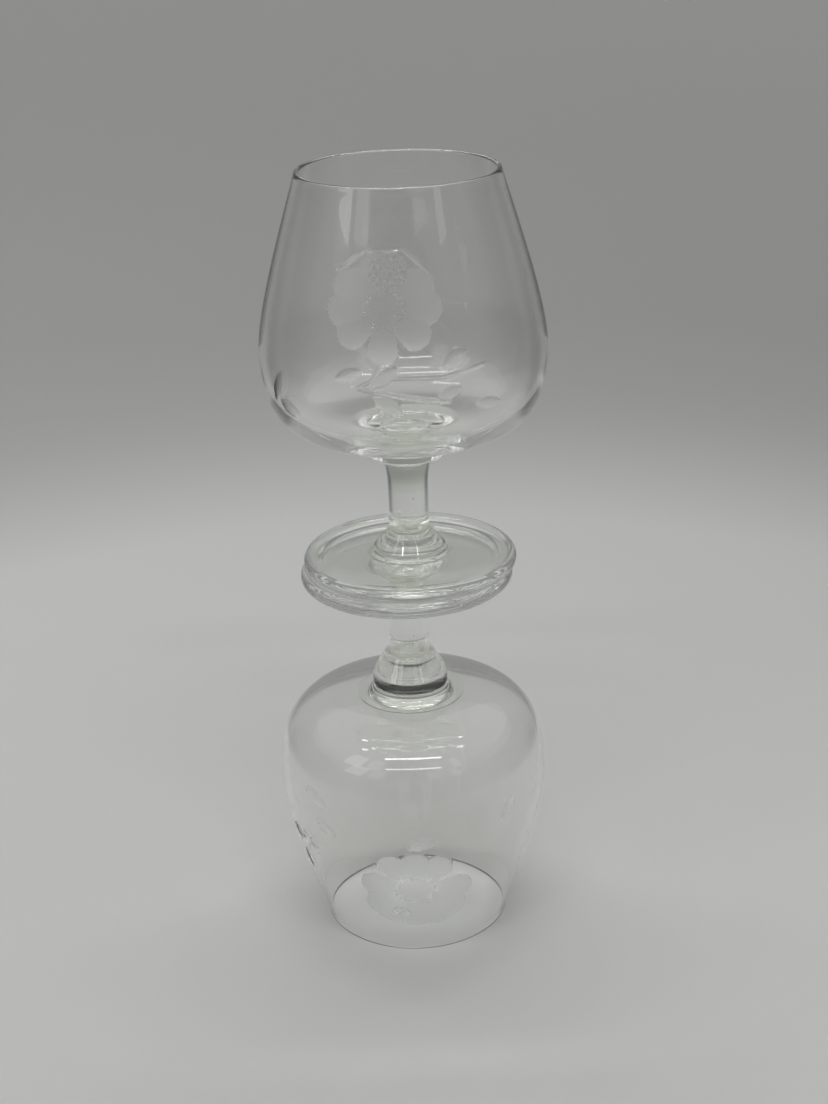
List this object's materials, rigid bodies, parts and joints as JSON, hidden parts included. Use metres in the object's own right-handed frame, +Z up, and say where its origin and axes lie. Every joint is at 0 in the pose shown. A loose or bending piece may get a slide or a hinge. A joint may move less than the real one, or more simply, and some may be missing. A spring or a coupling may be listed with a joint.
{
  "type": "stacked pair of stemmed goblets",
  "caption": "Short-stemmed clear glass goblets with wheel-cut flowers, stacked foot to foot: one upside down on its rim, the other upright on top and free to lift off.",
  "frame": {"origin": "centre of the stack's bounding box at the floor, between the two goblets' axes, which stand 1.2 mm apart along X", "axes": "+Z up, along both goblets' axes; +X is the way the upper goblet sits off the lower one; the engraved flowers face -Y"},
  "size_m": [0.085, 0.0838, 0.24],
  "materials": {
    "bowl_glass": "clear polished glass with matte wheel-cut flowers and leaves",
    "stem_glass": "clear polished solid glass",
    "foot_glass": "clear polished glass with a rounded edge"
  },
  "bodies": {
    "lower_goblet": {"lower_bowl": "bowl_glass", "lower_bowl_collar": "stem_glass", "lower_stem": "stem_glass", "lower_foot_collar": "stem_glass", "lower_foot": "foot_glass"},
    "upper_goblet": {"upper_bowl": "bowl_glass", "upper_bowl_collar": "stem_glass", "upper_stem": "stem_glass", "upper_foot_collar": "stem_glass", "upper_foot": "foot_glass"}
  },
  "joints": [
    {"name": "upper_lift", "type": "slide", "parent": "lower_goblet", "child": "upper_goblet", "axis": [0, 0, 1], "range_m": [0, 0.15]}
  ]
}
